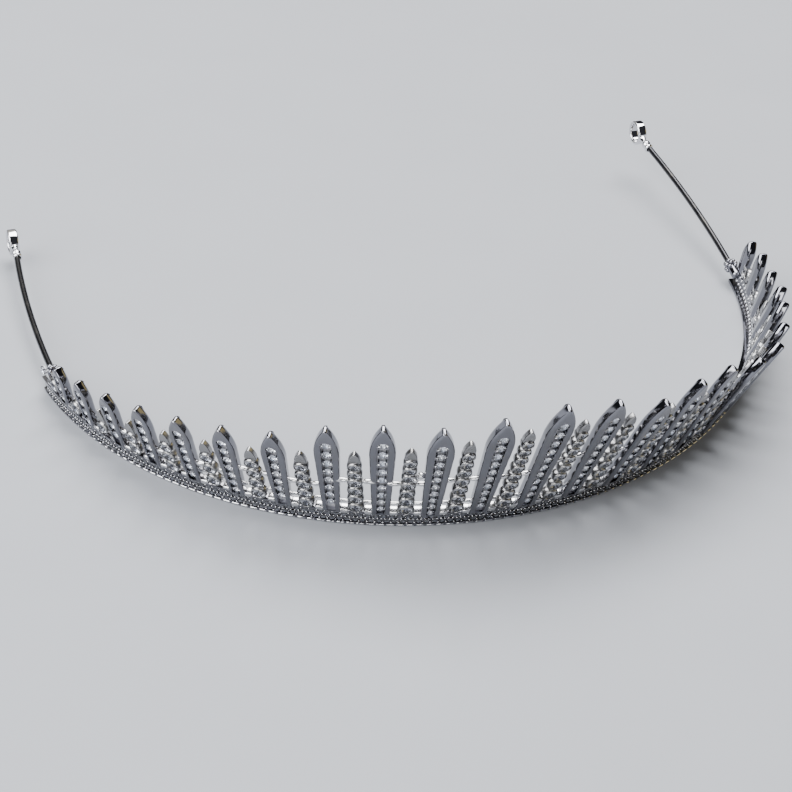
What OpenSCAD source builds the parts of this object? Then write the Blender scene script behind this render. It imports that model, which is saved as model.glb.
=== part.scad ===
// Fringe tiara: graduated pointed rays on a curved band, with a side wire and an end loop at each end.
// Millimetres, +Z up, front toward -Y. The origin is the centre of the rim's circle, on the floor.

/* [Band] */
// Radius of the rim's outer edge at the floor
rim_r = 72; // [66:0.5:80]
// Radial width of the flat rim strip
strip_w = 1.9; // [1.6:0.1:2.4]
// Height of the flat rim strip
strip_h = 0.7; // [0.5:0.1:0.9]
// Height of the band, measured up its slope
band_h = 3.9; // [3.6:0.1:4.6]
// Outward lean of the band in its middle, in degrees
band_lean = 22; // [16:1:26]
// Outward lean of the band at its ends, in degrees
band_end_lean = 10; // [6:1:14]
// Thickness of the band's web behind the pave recess
web_t = 0.8; // [0.6:0.1:1]
// Depth of the pave recess in the band's front
pave_recess = 0.35; // [0.2:0.05:0.5]

/* [Large rays] */
// Spacing of the large rays along the rim
ray_pitch = 8.2; // [8:0.1:8.6]
// Large rays on each side of the middle one
side_rays = 12; // [9:1:12]
// Height of the middle ray, measured up its slope from the rim
ray_h = 36.2; // [32:0.2:42]
// Loss of height from each large ray to the next
ray_step = 2.2; // [1.8:0.05:2.2]
// Greatest width of the middle ray
ray_w = 4.8; // [4.2:0.1:4.9]
// Greatest width of the last ray
end_ray_w = 3.2; // [2.8:0.1:3.4]
// Width of a ray at its foot, as a share of its greatest width
foot_share = 0.7; // [0.6:0.05:0.8]
// Thickness of a ray from front to back
ray_t = 1.9; // [1.6:0.1:2.2]
// Outward lean of the middle ray in degrees
mid_lean = 26; // [20:1:30]
// Outward lean of the last ray in degrees
end_lean = 10; // [6:1:20]
// Depth of the channel that holds a ray's stones
channel_d = 0.9; // [0.8:0.05:1]

/* [Small rays] */
// Height by which a small ray stays below the large rays beside it
small_drop = 5.4; // [4:0.2:7]
// Rough spacing of the collets along a small ray, from which their number follows
collet_len = 2.9; // [2.7:0.1:3.2]
// Diameter of the largest collet, at the foot
collet_d = 2.9; // [2.6:0.1:3]
// Diameter of the smallest collet, under the tip
top_collet_d = 2.3; // [2:0.1:2.5]
// Depth of a collet from front to back
collet_t = 1.6; // [1.3:0.1:1.8]
// Height of the pointed tip above the last collet
small_tip_h = 2.5; // [2:0.1:3]

/* [Links] */
// Height of the cross links, as a share of the large rays' height
link_share = 0.46; // [0.42:0.01:0.5]
// Diameter of a cross link
link_d = 0.9; // [0.7:0.1:1.1]
// Width of the pads on the band beside each small ray
foot_pad_w = 1.6; // [1.4:0.1:1.7]

/* [Stones] */
// Diameter of the largest stone of a large ray
stone_d = 1.9; // [1.7:0.05:2]
// Diameter of the smallest stone of a large ray, at its foot
foot_stone_d = 1.3; // [1.2:0.05:1.5]
// Spacing of a large ray's stones, as a multiple of their diameter
stone_spread = 1.65; // [1.65:0.05:1.8]
// Clear gap between a stone and the metal round it
seat_gap = 0.06; // [0.05:0.01:0.08]

/* [Side wires] */
// Diameter of a side wire
wire_d = 1.2; // [1:0.1:1.4]
// Distance from the rim's centre back to an end loop's centre
loop_back = 34.2; // [30:0.2:40]
// Distance from the middle plane out to an end loop's centre
loop_out = 68.4; // [67:0.2:70]
// Height of the left end loop's centre
left_loop_z = 5; // [4:0.5:12]
// Height of the right end loop's centre
right_loop_z = 11; // [4:0.5:12]
// Outer diameter of an end loop
loop_d = 5.2; // [5:0.1:6]
// Diameter of an end loop's hole
loop_hole_d = 3.8; // [3.4:0.1:4]
// Width of an end loop along its axis
loop_w = 2.2; // [2:0.1:2.6]

/* [Hidden] */
$fn = 48;
step_a = ray_pitch / rim_r * 180 / PI;
end_a = side_rays * step_a;
// The band runs past the last rays by this much
band_over = 2.7;
band_a = end_a + band_over / rim_r * 180 / PI;
// The band is a cone that leans by cone_lean, pushed forward by this much for each unit of height
band_push = (tan(band_lean) - tan(band_end_lean)) / (1 - cos(end_a));
cone_lean = atan(tan(band_lean) - band_push);
// Top rail of the band, and foot of the band's web in the flat rim strip
rail_h = 0.55;
rail_t = 1.5;
web_foot = 0.2;
// How far rays and spines are sunk into the band
sink = 0.5;
// Length of a large ray's point: a fixed part, and a share of the ray's height
point_base = 1.5;
point_share = 0.19;
// Radius of the rounded ridge on a large ray's tip and on a small ray's tip
ridge_r = 0.45;
small_ridge_r = 0.3;
// Large rays that stand out of line, as [place, extra outward lean in degrees, extra height]
bent_rays = [[-12, 2, -1.5], [-4, -2, 1], [-3, -3, 0], [2, 2, -1], [5, 3.5, -0.5], [6, 5, -0.5],
             [7, 3, -0.5], [10, -2.5, 0], [11, -3, 1], [12, 1, 1]];
// Depth of the highest stone below a large tip, as a share of the point's length
top_stone_share = 0.6;
// Lowest place of a stone above the band, and start of the channel
foot_clear = 2;
channel_foot = 0.2;
// Overlap that joins two pieces of one outline or one solid
lap = 0.01;
// Crystal proportions, as shares of the stone's diameter
table_share = 0.56;
crown_share = 0.2;
girdle_share = 0.06;
pavilion_share = 0.34;
culet_share = 0.2;
// Bezel wall round a collet's stone, the seat's depth, the lip and the chamfers of the rim and back
bezel_t = 0.32;
seat_d = 1.12;
seat_floor_share = 0.6;
lip_chamfer = [0.12, 0.25];
back_chamfer = 0.45;
// Place of the collets behind the rays' front, and of their stones behind the collet's front
collet_y = 0.15;
collet_stone_y = 0.12;
// Least spacing of the collets, as a multiple of their diameter
least_spread = 0.95;
// Spine that joins a stack of collets at the back
spine_w = 1.2;
spine_y = 1.3;
spine_t = 0.4;
// Pointed tip of a small ray
small_tip_w = 2.1;
small_tip_foot = 2;
small_tip_t = 1.1;
small_tip_point = 2.6;
small_tip_sink = 0.25;
// Foot pads: height above the band's edge, depth below it, size and place from the front, lap on a ray
foot_pad_h = 0.6;
foot_pad_sink = 0.3;
foot_pad_t = 1.5;
foot_pad_y = 0.25;
foot_pad_lap = 0.15;
// Bars over the pads: diameter, rise over the lowest collet's middle, place from the front, and depth in it
foot_bar_d = 0.6;
foot_bar_rise = 0.4;
foot_bar_y = 1.5;
foot_bar_in = 0.6;
// Links: place from the front and depth in a collet, and the small ray with its links one collet higher
link_y = 0.95;
link_in = 0.2;
raised_link = 0.5;
// Distance of the bars' and links' ends from a large ray's middle
bar_short = 1.05;
// Sockets at the band's ends, and the gap between a wire and its bores
socket_d = 2.3;
socket_len = 4.6;
socket_depth = 3.6;
fit_gap = 0.05;
// Start of a side wire: height, distance inside the rim's circle, and outward bow along its length
start_z = 3.4;
start_in = 1.55;
wire_bow = 1;
// Collar of two rings between wire and end loop, and the shank that carries them
collar_d = 1.9;
collar_len = 2.4;
collar_depth = 1.7;
collar_groove = 0.3;
shank_d = 1.5;
shank_len = 1.2;
shank_back = 0.4;

// Lean of the rays k places from the middle, in degrees
function lean(k) = mid_lean - (mid_lean - end_lean) * pow(k / side_rays, 2);

// Extra lean (column 1) or extra height (column 2) of the large ray at place k
function bend(k, column) = let (found = [for (row = bent_rays) if (row[0] == k) row[column]])
    len(found) > 0 ? found[0] : 0;

// Lean of the large ray at place k, with its bend
function ray_lean(k) = lean(k) + bend(k, 1);

// Height of the line of large tips at place k, up the slope
function tip_line(k) = ray_h - ray_step * abs(k);

// Height of the tip of the large ray at place k
function ray_top(k) = tip_line(k) + bend(k, 2);

// Share of the way from the last ray's height to the middle one's
function height_share(k) = 1 - abs(k) / side_rays;

function ray_width(k) = end_ray_w + (ray_w - end_ray_w) * height_share(k);

// Length of the pointed part of a large ray
function point_len(k) = point_base + point_share * tip_line(k);

// Room for collets on the small ray at place k, and how many it takes
function small_room(k) = tip_line(k) - small_drop - band_h - small_tip_h;
function collets(k) = max(1, round(small_room(k) / collet_len));
function has_tip(k) = small_room(k) > collet_d;

// Diameter of collet i, counted from the foot, and of the first i collets together
function collet_size(i) = collet_d - (collet_d - top_collet_d) * i / (collets(0.5) - 1);
function stack_sum(i) = i > 0 ? collet_size(i - 1) + stack_sum(i - 1) : 0;

// Spacing of the collets as a multiple of their size, height of collet i, and top of the stack
function collet_spread(k) = max(least_spread, small_room(k) / stack_sum(collets(k)));
function collet_v(k, i) = band_h + collet_spread(k) * (stack_sum(i) + collet_size(i) / 2);
function stack_top(k) = band_h + collet_spread(k) * stack_sum(collets(k));

// Diameter of a large ray's stone at height v
function stone_size(v) =
    foot_stone_d + (stone_d - foot_stone_d) * (v - band_h) / (ray_h - band_h);

// Heights of a large ray's stones, from the highest down
function top_stone_v(k) = ray_top(k) - top_stone_share * point_len(k);
function stone_row(v) =
    v < band_h + foot_clear ? [] : concat([v], stone_row(v - stone_spread * stone_size(v)));

// Half the distance between two large rays at height v beside place k
function half_pitch(k, v) = (rim_r + v * sin(lean(k))) * tan(step_a / 2);

// Children drawn in a ray's own frame: X along the rim, Y inward through the ray, Z up its slope
module at_ray(k, tilt) {
    rotate([0, 0, k * step_a]) translate([0, -rim_r, 0]) rotate([tilt, 0, 0]) children();
}

// Outline of a pointed ray, tip up, from height lo to height hi, widest at the foot of the point.
// Two arcs of radius r meet a small round tip without a corner.
module lancet(width, foot_w, lo, hi, point, tip_r) {
    rise = point - tip_r;
    r = (width * width / 4 + rise * rise - tip_r * tip_r) / (width - 2 * tip_r);
    intersection() {
        translate([r - width / 2, hi - point]) circle(r);
        translate([width / 2 - r, hi - point]) circle(r);
        translate([-width, hi - point - lap]) square([2 * width, rise + lap + tip_r * rise / (r - tip_r)]);
    }
    translate([0, hi - tip_r]) circle(tip_r);
    polygon([[-foot_w / 2, lo], [foot_w / 2, lo], [width / 2, hi - point], [-width / 2, hi - point]]);
}

// Slot of a large ray's channel, a little wider than its stones
module channel(k) {
    v_top = top_stone_v(k);
    v_low = band_h + channel_foot;
    top_r = stone_size(v_top) / 2 + seat_gap;
    low_r = foot_stone_d / 2 + seat_gap;
    polygon([[-low_r, v_low], [low_r, v_low], [top_r, v_top], [-top_r, v_top]]);
    translate([0, v_top]) circle(top_r);
}

// One large ray: a solid back layer and a front layer cut by the channel
module large_ray(k) {
    at_ray(k, ray_lean(k)) rotate([90, 0, 0]) {
        translate([0, 0, -ray_t]) linear_extrude(ray_t - channel_d) ray_outline(k);
        translate([0, 0, -channel_d]) linear_extrude(channel_d) difference() {
            ray_outline(k);
            channel(k);
        }
    }
}

module ray_outline(k) {
    w = ray_width(k);
    lancet(w, w * foot_share, band_h - sink, ray_top(k), point_len(k), ridge_r);
}

// One collet, axis along Y, with an open seat for its stone in front
module collet(d) {
    r = d / 2;
    seat_r = r - bezel_t;
    rotate([-90, 0, 0]) rotate_extrude() polygon([
        [0, seat_d], [seat_r * seat_floor_share, seat_d], [seat_r, seat_d / 2], [seat_r, 0],
        [r - lip_chamfer[0], 0], [r, lip_chamfer[1]], [r, collet_t - back_chamfer],
        [r - back_chamfer, collet_t], [0, collet_t]]);
}

// One small ray: a stack of collets on a spine, with a pointed tip and its two foot pads
module small_ray(k) {
    n = collets(k);
    last_v = collet_v(k, n - 1);
    tip_foot_v = last_v + collet_size(n - 1) / 2 - small_tip_sink;
    ray_side = half_pitch(k, band_h) - ray_width(k) * foot_share / 2;
    pad_x = ray_side + foot_pad_lap - foot_pad_w;
    at_ray(k, lean(k)) {
        for (i = [0:n - 1]) translate([0, collet_y, collet_v(k, i)]) collet(collet_size(i));
        translate([-spine_w / 2, spine_y, band_h - sink]) cube([spine_w, spine_t, last_v - band_h + sink]);
        if (has_tip(k)) rotate([90, 0, 0]) translate([0, 0, -collet_t]) linear_extrude(small_tip_t)
            lancet(small_tip_w, small_tip_foot, tip_foot_v, stack_top(k) + small_tip_h,
                small_tip_point, small_ridge_r);
        for (side = [0, 1]) mirror([side, 0, 0]) translate([pad_x, foot_pad_y, band_h - foot_pad_sink])
            cube([foot_pad_w, foot_pad_t, foot_pad_sink + foot_pad_h]);
    }
}

// Collet of a small ray that its links meet
function link_place(k) = (k == raised_link ? 1 : 0)
    + round((link_share * tip_line(k) - band_h) / (collet_spread(k) * collet_d) - 0.5);

// Cross bars of one interval: one pair over the foot pads, and one pair of links at a collet higher up
module links(k) {
    i = link_place(k);
    at_ray(k, lean(k)) {
        bars(k, foot_bar_d, collet_v(k, 0) + foot_bar_rise, foot_bar_y, collet_size(0) / 2 - foot_bar_in);
        if (i > 0 && i < collets(k)) bars(k, link_d, collet_v(k, i), link_y, collet_size(i) / 2 - link_in);
    }
}

// A round bar of diameter d on each side of a small ray at height v, from x = inner out to the large rays
module bars(k, d, v, y, inner) {
    for (side = [0, 1]) mirror([side, 0, 0]) translate([inner, y, v])
        rotate([0, 90, 0]) cylinder(d = d, h = half_pitch(k, v) - bar_short - inner);
}

// Ring sector of the band, turned from a cross-section of radius and height
module band_sector() {
    rotate([0, 0, -90 - band_a]) rotate_extrude(angle = 2 * band_a, $fn = 180) children();
}

// Flat rim strip on the floor, and the web and top rail that rise from it, pushed forward
module band() {
    out = sin(cone_lean);
    up = cos(cone_lean);
    back = pave_recess + web_t;
    // Point u inward and v up the slope, as [radius, height]
    function at(u, v) = [rim_r + v * out - u * up, v * up + u * out];
    band_sector() translate([rim_r - strip_w, 0]) square([strip_w, strip_h]);
    multmatrix([[1, 0, 0, 0], [0, 1, -band_push, 0], [0, 0, 1, 0]]) band_sector() polygon([
        at(0, web_foot), at(0, strip_h), at(pave_recess, strip_h), at(pave_recess, band_h - rail_h),
        at(0, band_h - rail_h), at(0, band_h), at(rail_t, band_h), at(rail_t, band_h - rail_h),
        at(back, band_h - rail_h), at(back, web_foot)]);
}

// Turns the X side: -1 is the left end, 1 is the right end
function loop_z(side) = side < 0 ? left_loop_z : right_loop_z;

// Start of a side wire at the band's end, its direction to the loop, and the straight distance
function wire_from(side) =
    [side * (rim_r - start_in) * sin(end_a), -(rim_r - start_in) * cos(end_a), start_z];
function wire_to(side) = [side * loop_out, loop_back, loop_z(side)];
function wire_span(side) = norm(wire_to(side) - wire_from(side));

// Children drawn with Y along the chord of a side wire, from its start at the origin
module along_wire(side) {
    d = wire_to(side) - wire_from(side);
    translate(wire_from(side)) rotate([0, 0, atan2(-d[0], d[1])])
        rotate([asin(d[2] / norm(d)), 0, 0]) children();
}

// Distance from the wire's start to its end inside the loop's collar, and its arc
function wire_len(side) = wire_span(side) - loop_d / 2 - shank_len - (collar_len - collar_depth);
function bow_r(side) = (pow(wire_len(side) / 2, 2) + wire_bow * wire_bow) / (2 * wire_bow);
function half_arc(side) = asin(wire_len(side) / 2 / bow_r(side));

module side_wire(side) {
    along_wire(side) translate([-side * (bow_r(side) - wire_bow), wire_len(side) / 2, 0])
        rotate([0, 0, side > 0 ? -half_arc(side) : 180 - half_arc(side)])
            rotate_extrude(angle = 2 * half_arc(side), $fn = 360)
                translate([bow_r(side), 0]) circle(d = wire_d, $fn = 24);
}

module end_loop(side) {
    span = wire_span(side);
    collar_y = span - loop_d / 2 - shank_len - collar_len;
    along_wire(side) difference() {
        union() {
            translate([-loop_w / 2, span, 0]) rotate([0, 90, 0]) cylinder(d = loop_d, h = loop_w);
            translate([0, collar_y + shank_back, 0]) rotate([-90, 0, 0])
                cylinder(d = shank_d, h = collar_len + shank_len + (loop_d - loop_hole_d) / 4);
            for (i = [0, 1]) translate([0, collar_y + collar_len * i / 2, 0])
                rotate([-90, 0, 0]) cylinder(d = collar_d, h = collar_len / 2 - collar_groove * (1 - i));
        }
        translate([-loop_w, span, 0]) rotate([0, 90, 0]) cylinder(d = loop_hole_d, h = 2 * loop_w);
        translate([0, wire_len(side), 0]) rotate([0, 0, side * half_arc(side)])
            translate([0, -2 * collar_depth, 0]) wire_bore(2 * collar_depth + fit_gap);
    }
}

// A bore for the wire, along +Y
module wire_bore(length) {
    rotate([-90, 0, 0]) cylinder(d = wire_d + 2 * fit_gap, h = length);
}

// Children drawn with Y along the wire's own end in the band
module at_wire_start(side) {
    along_wire(side) rotate([0, 0, -side * half_arc(side)]) children();
}

// Socket on the band's inner side that takes the wire
module socket(side) {
    at_wire_start(side) translate([0, socket_depth - socket_len, 0]) rotate([-90, 0, 0])
        cylinder(d = socket_d, h = socket_len);
}

module socket_bore(side) {
    at_wire_start(side) translate([0, -fit_gap, 0]) wire_bore(2 * socket_depth);
}

// A round cut stone, axis along Y, table toward -Y: table, eight crown facets, girdle and pavilion
module crystal(d) {
    r = d / 2;
    y0 = -crown_share * d;
    y1 = girdle_share * d;
    y2 = y1 + pavilion_share * d;
    rings = [[r * table_share, y0, 22.5], [r, 0, 0], [r, y1, 0], [r * culet_share, y2, 0]];
    points = [for (ring = rings, i = [0:7])
        [ring[0] * cos(45 * i + ring[2]), ring[1], ring[0] * sin(45 * i + ring[2])]];
    crown = [for (i = [0:7]) each [[i, (i + 1) % 8, 8 + (i + 1) % 8], [i, 8 + (i + 1) % 8, 8 + i]]];
    sides = [for (s = [1, 2], i = [0:7])
        [8 * s + i, 8 * s + (i + 1) % 8, 8 * s + 8 + (i + 1) % 8, 8 * s + 8 + i]];
    table = [for (i = [0:7]) 7 - i];
    culet = [for (i = [0:7]) 24 + i];
    polyhedron(points, concat([table], crown, sides, [culet]));
}

module large_ray_stones(k) {
    at_ray(k, ray_lean(k)) for (v = stone_row(top_stone_v(k))) {
        d = stone_size(v);
        translate([0, channel_d - (girdle_share + pavilion_share) * d - seat_gap, v]) crystal(d);
    }
}

module small_ray_stones_at(k) {
    at_ray(k, lean(k)) for (i = [0:collets(k) - 1])
        translate([0, collet_y + collet_stone_y, collet_v(k, i)])
            crystal(collet_size(i) - 2 * bezel_t - 2 * seat_gap);
}

module frame() {
    color("silver") difference() {
        union() {
            band();
            for (k = [-side_rays:side_rays]) large_ray(k);
            for (k = [0.5 - side_rays:side_rays - 0.5]) {
                small_ray(k);
                links(k);
            }
            for (side = [-1, 1]) socket(side);
        }
        for (side = [-1, 1]) socket_bore(side);
    }
}

module large_ray_stones_left() {
    color("lightcyan") for (k = [-side_rays:-1]) large_ray_stones(k);
}

module large_ray_stones_right() {
    color("lightcyan") for (k = [0:side_rays]) large_ray_stones(k);
}

module small_ray_stones() {
    color("azure") for (k = [0.5 - side_rays:side_rays - 0.5]) small_ray_stones_at(k);
}

module side_wire_left() {
    color("gainsboro") side_wire(-1);
}

module side_wire_right() {
    color("gainsboro") side_wire(1);
}

module end_loop_left() {
    color("silver") end_loop(-1);
}

module end_loop_right() {
    color("silver") end_loop(1);
}

frame();
large_ray_stones_left();
large_ray_stones_right();
small_ray_stones();
side_wire_left();
side_wire_right();
end_loop_left();
end_loop_right();
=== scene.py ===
"""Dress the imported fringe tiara: polished metal, cut stones, pave band, floor, light and camera.

Pieces are shaped in millimetres on a bench at the world's origin, then placed in the frame's metres.
A ray's parts are shaped flat: X along the rim, Y up the ray's slope, Z out of its front.
"""

import logging
import math
from dataclasses import dataclass
from enum import Enum
from typing import Callable, Iterable, Sequence

import bmesh
import bpy
from mathutils import Matrix, Vector


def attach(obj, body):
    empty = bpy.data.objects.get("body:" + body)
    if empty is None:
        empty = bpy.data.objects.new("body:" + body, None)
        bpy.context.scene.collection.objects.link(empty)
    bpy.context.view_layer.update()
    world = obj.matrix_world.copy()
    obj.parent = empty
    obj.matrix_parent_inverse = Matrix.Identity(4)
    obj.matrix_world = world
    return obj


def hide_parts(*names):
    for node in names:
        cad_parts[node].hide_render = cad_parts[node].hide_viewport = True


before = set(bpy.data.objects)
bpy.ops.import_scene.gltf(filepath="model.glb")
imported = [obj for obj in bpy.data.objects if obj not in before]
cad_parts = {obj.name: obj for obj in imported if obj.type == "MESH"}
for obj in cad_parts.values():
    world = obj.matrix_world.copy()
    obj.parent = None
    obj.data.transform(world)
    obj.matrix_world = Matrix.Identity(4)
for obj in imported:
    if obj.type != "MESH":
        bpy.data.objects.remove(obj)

LOG = logging.getLogger("tiara")
MM = 0.001
# Millimetres within which two places are one, vertices merge, and a pick reaches.
NEAR = 0.0001
MERGE = 0.001
SLACK = 0.01
BODY = "root"
FRAME = "frame"
ORIGIN = Matrix.Identity(4)
Obj = bpy.types.Object
Material = bpy.types.Material
Colour = tuple[float, float, float]
PairTest = Callable[[Vector, Vector], bool]


class Side(Enum):
    """An end of the tiara, as the sign of X."""

    LEFT = -1
    RIGHT = 1

    @property
    def label(self) -> str:
        """Lower-case name used in node and piece names."""
        return self.name.lower()


class Slot(Enum):
    """Material slots of the record."""

    SILVER = "silver"
    CRYSTAL = "crystal"


@dataclass(frozen=True)
class Plan:
    """Sizes of the tiara in millimetres and degrees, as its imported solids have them."""

    rim_r: float = 72.0
    strip_w: float = 1.9
    strip_h: float = 0.7
    band_h: float = 3.9
    band_lean: float = 22.0
    band_end_lean: float = 10.0
    web_t: float = 0.8
    pave_recess: float = 0.35
    rail_h: float = 0.55
    rail_t: float = 1.5
    web_foot: float = 0.2
    band_over: float = 2.7
    ray_pitch: float = 8.2
    side_rays: int = 12
    ray_h: float = 36.2
    ray_step: float = 2.2
    ray_w: float = 4.8
    end_ray_w: float = 3.2
    foot_share: float = 0.7
    ray_t: float = 1.9
    mid_lean: float = 26.0
    end_lean: float = 10.0
    channel_d: float = 0.9
    channel_foot: float = 0.2
    point_base: float = 1.5
    point_share: float = 0.19
    ridge_r: float = 0.45
    sink: float = 0.5
    top_stone_share: float = 0.6
    stone_d: float = 1.9
    foot_stone_d: float = 1.3
    stone_spread: float = 1.65
    seat_gap: float = 0.06
    stone_depth: float = 0.4
    small_drop: float = 5.4
    collet_len: float = 2.9
    collet_d: float = 2.9
    top_collet_d: float = 2.3
    collet_t: float = 1.6
    collet_y: float = 0.15
    collet_stone_y: float = 0.12
    least_spread: float = 0.95
    bezel_t: float = 0.32
    small_tip_h: float = 2.5
    small_tip_w: float = 2.1
    small_tip_foot: float = 2.0
    small_tip_t: float = 1.1
    small_tip_point: float = 2.6
    small_tip_sink: float = 0.25
    small_ridge_r: float = 0.3
    link_share: float = 0.46
    link_d: float = 0.9
    foot_pad_w: float = 1.6
    foot_pad_h: float = 0.6
    foot_pad_sink: float = 0.3
    foot_pad_t: float = 1.5
    foot_pad_y: float = 0.25
    foot_pad_lap: float = 0.15
    foot_bar_d: float = 0.6
    foot_bar_rise: float = 0.4
    foot_bar_y: float = 1.5
    foot_bar_in: float = 0.6
    link_y: float = 0.95
    link_in: float = 0.2
    raised_link: float = 0.5
    bar_short: float = 1.05
    wire_d: float = 1.2
    loop_back: float = 34.2
    loop_out: float = 68.4
    left_loop_z: float = 5.0
    right_loop_z: float = 11.0
    loop_d: float = 5.2
    loop_hole_d: float = 3.8
    loop_w: float = 2.2
    socket_d: float = 2.3
    socket_len: float = 4.6
    socket_depth: float = 3.6
    start_z: float = 3.4
    start_in: float = 1.55
    wire_bow: float = 1.0
    collar_d: float = 1.9
    collar_len: float = 2.4
    collar_depth: float = 1.7
    shank_d: float = 1.5
    shank_len: float = 1.2
    bent_rays: tuple[tuple[int, float, float], ...] = (
        (-12, 2.0, -1.5), (-4, -2.0, 1.0), (-3, -3.0, 0.0), (2, 2.0, -1.0), (5, 3.5, -0.5),
        (6, 5.0, -0.5), (7, 3.0, -0.5), (10, -2.5, 0.0), (11, -3.0, 1.0), (12, 1.0, 1.0))

    @property
    def step(self) -> float:
        """Angle between two large rays, in radians."""
        return self.ray_pitch / self.rim_r

    @property
    def band_angle(self) -> float:
        """Angle from the middle to the band's end, in radians."""
        return self.side_rays * self.step + self.band_over / self.rim_r

    @property
    def large_places(self) -> range:
        """Places of the large rays from left to right, 0 in the middle."""
        return range(-self.side_rays, self.side_rays + 1)

    @property
    def small_places(self) -> list[float]:
        """Places of the small rays, halfway between the large ones."""
        return [k + 0.5 for k in range(-self.side_rays, self.side_rays)]

    @property
    def band_push(self) -> float:
        """Forward shift of the band for each unit of height, on top of its cone's lean."""
        middle, end = (math.tan(math.radians(a)) for a in (self.band_lean, self.band_end_lean))
        return (middle - end) / (1 - math.cos(self.side_rays * self.step))

    @property
    def cone_lean(self) -> float:
        """Lean of the band's cone before it is pushed forward, in radians."""
        return math.atan(math.tan(math.radians(self.band_lean)) - self.band_push)

    @property
    def pushed(self) -> Matrix:
        """Push of the band's cone forward with its height.

        Returns:
            Shear matrix.
        """
        push = Matrix.Identity(4)
        push[1][2] = -self.band_push
        return push

    def lean(self, k: float) -> float:
        """Outward lean in degrees at place k."""
        return self.mid_lean - (self.mid_lean - self.end_lean) * (k / self.side_rays) ** 2

    def bend(self, k: float) -> tuple[float, float]:
        """Extra lean in degrees and extra height of the large ray at place k."""
        return next(((lean, rise) for place, lean, rise in self.bent_rays if place == k), (0.0, 0.0))

    def ray_lean(self, k: float) -> float:
        """Outward lean of the large ray at place k, with its bend."""
        return self.lean(k) + self.bend(k)[0]

    def tip_line(self, k: float) -> float:
        """Height of the line of large tips at place k."""
        return self.ray_h - self.ray_step * abs(k)

    def ray_top(self, k: float) -> float:
        """Height of the tip of the large ray at place k."""
        return self.tip_line(k) + self.bend(k)[1]

    def ray_width(self, k: float) -> float:
        """Greatest width of a large ray."""
        return self.end_ray_w + (self.ray_w - self.end_ray_w) * (1 - abs(k) / self.side_rays)

    def point_len(self, k: float) -> float:
        """Length of a large ray's pointed part."""
        return self.point_base + self.point_share * self.tip_line(k)

    def stone_size(self, v: float) -> float:
        """Diameter of a large ray's stone at height v."""
        share = (v - self.band_h) / (self.ray_h - self.band_h)
        return self.foot_stone_d + (self.stone_d - self.foot_stone_d) * share

    def top_stone_v(self, k: float) -> float:
        """Height of a large ray's highest stone."""
        return self.ray_top(k) - self.top_stone_share * self.point_len(k)

    def stone_row(self, k: float, clear: float) -> list[float]:
        """Heights of a large ray's stones from the highest down.

        Args:
            k: Place of the ray.
            clear: Least height of a stone above the band.

        Returns:
            Heights up the slope.
        """
        row, v = [], self.top_stone_v(k)
        while v >= self.band_h + clear:
            row.append(v)
            v -= self.stone_spread * self.stone_size(v)
        return row

    def small_room(self, k: float) -> float:
        """Height that the collets of a small ray may take."""
        return self.tip_line(k) - self.small_drop - self.band_h - self.small_tip_h

    def collets(self, k: float) -> int:
        """Number of collets on a small ray."""
        return max(1, round(self.small_room(k) / self.collet_len))

    def collet_size(self, i: int) -> float:
        """Diameter of collet i, counted from the foot."""
        return self.collet_d - (self.collet_d - self.top_collet_d) * i / (self.collets(0.5) - 1)

    def stack_sum(self, i: int) -> float:
        """Diameters of the first i collets together."""
        return sum(self.collet_size(n) for n in range(i))

    def collet_spread(self, k: float) -> float:
        """Spacing of a small ray's collets, as a multiple of their size."""
        return max(self.least_spread, self.small_room(k) / self.stack_sum(self.collets(k)))

    def collet_v(self, k: float, i: int) -> float:
        """Height of collet i's middle."""
        return self.band_h + self.collet_spread(k) * (self.stack_sum(i) + self.collet_size(i) / 2)

    def stack_top(self, k: float) -> float:
        """Height of the top of a stack of collets."""
        return self.band_h + self.collet_spread(k) * self.stack_sum(self.collets(k))

    def link_place(self, k: float) -> int:
        """Collet of a small ray that its links meet.

        Args:
            k: Place of the ray.

        Returns:
            Number of the collet, counted from the foot.
        """
        rise = self.link_share * self.tip_line(k) - self.band_h
        collet = round(rise / (self.collet_spread(k) * self.collet_d) - 0.5)
        return collet + int(k == self.raised_link)

    def half_pitch(self, k: float, v: float) -> float:
        """Half the distance between two large rays at height v beside place k."""
        return (self.rim_r + v * math.sin(math.radians(self.lean(k)))) * math.tan(self.step / 2)

    def at_ray(self, k: float, tilt: float) -> Matrix:
        """Matrix from a part shaped flat to place k of the rim, leaning outwards by tilt degrees."""
        return (Matrix.Rotation(k * self.step, 4, "Z") @ Matrix.Translation((0, -self.rim_r, 0))
                @ Matrix.Rotation(math.radians(tilt), 4, "X") @ Matrix.Rotation(math.pi / 2, 4, "X"))

    def at_band(self, k: float) -> Matrix:
        """Place of a part that was shaped flat, on the band's slope at place k."""
        return self.pushed @ self.at_ray(k, math.degrees(self.cone_lean))


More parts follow.
